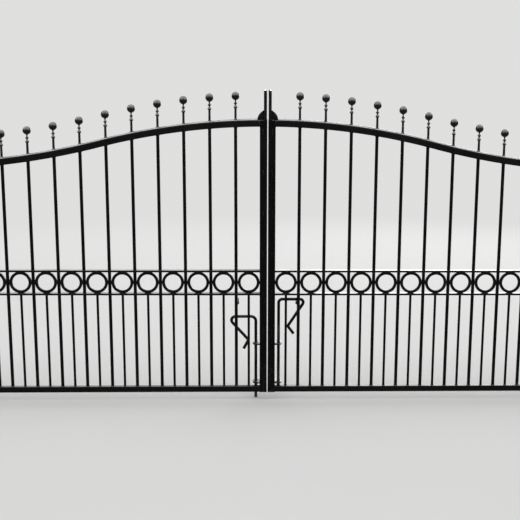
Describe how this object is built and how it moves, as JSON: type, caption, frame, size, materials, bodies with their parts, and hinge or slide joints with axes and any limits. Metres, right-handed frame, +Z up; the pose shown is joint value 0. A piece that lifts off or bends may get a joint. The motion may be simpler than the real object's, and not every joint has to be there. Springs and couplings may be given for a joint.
{
  "type": "driveway gates",
  "caption": "Pair of bell-top wrought iron driveway gates with ball finials, a ring band and drop bolts, hung on square posts.",
  "frame": {"origin": "middle of the left post's foot, on the underside of its base plate", "axes": "+X along the gateway from the left post to the right post, +Y from the street to the house, +Z up"},
  "size_m": [3.959, 0.2, 1.666],
  "materials": {
    "gate_paint": "gloss",
    "finial_paint": "gloss",
    "bolt_paint": "satin",
    "fitting_paint": "satin",
    "post_paint": "gloss"
  },
  "bodies": {
    "posts": {"left_post": "post_paint", "left_post_cap": "post_paint", "left_base_plate": "post_paint", "left_hinge_brackets": "fitting_paint", "right_post": "post_paint", "right_post_cap": "post_paint", "right_base_plate": "post_paint", "right_hinge_brackets": "fitting_paint"},
    "left_leaf": {"left_hanging_stile": "gate_paint", "left_meeting_stile": "gate_paint", "left_top_rail": "gate_paint", "left_band_rails": "gate_paint", "left_bottom_rail": "gate_paint", "left_full_bars": "gate_paint", "left_dog_bars": "gate_paint", "left_rings": "gate_paint", "left_finials": "finial_paint", "left_cover_strip": "gate_paint", "left_upright": "gate_paint", "left_shoulder": "gate_paint", "left_bolt_guides": "fitting_paint", "left_handle_hook": "fitting_paint", "left_hinge_eyes": "fitting_paint"},
    "left_bolt": {"left_drop_bolt": "bolt_paint"},
    "right_leaf": {"right_hanging_stile": "gate_paint", "right_meeting_stile": "gate_paint", "right_top_rail": "gate_paint", "right_band_rails": "gate_paint", "right_bottom_rail": "gate_paint", "right_full_bars": "gate_paint", "right_dog_bars": "gate_paint", "right_rings": "gate_paint", "right_finials": "finial_paint", "right_cover_strip": "gate_paint", "right_upright": "gate_paint", "right_shoulder": "gate_paint", "right_bolt_guides": "fitting_paint", "right_handle_hook": "fitting_paint", "right_hinge_eyes": "fitting_paint"},
    "right_bolt": {"right_drop_bolt": "bolt_paint"}
  },
  "joints": [
    {"name": "left_leaf_swing", "type": "hinge", "parent": "posts", "child": "left_leaf", "pos_m": [0.084, 0, 0.2], "axis": [0, 0, 1], "range_deg": [0, 90]},
    {"name": "right_leaf_swing", "type": "hinge", "parent": "posts", "child": "right_leaf", "pos_m": [3.675, 0, 0.2], "axis": [0, 0, -1], "range_deg": [0, 90]},
    {"name": "left_bolt_slide", "type": "slide", "parent": "left_leaf", "child": "left_bolt", "axis": [0, 0, 1], "range_m": [0, 0.094]},
    {"name": "right_bolt_slide", "type": "slide", "parent": "right_leaf", "child": "right_bolt", "axis": [0, 0, 1], "range_m": [-0.094, 0]}
  ]
}
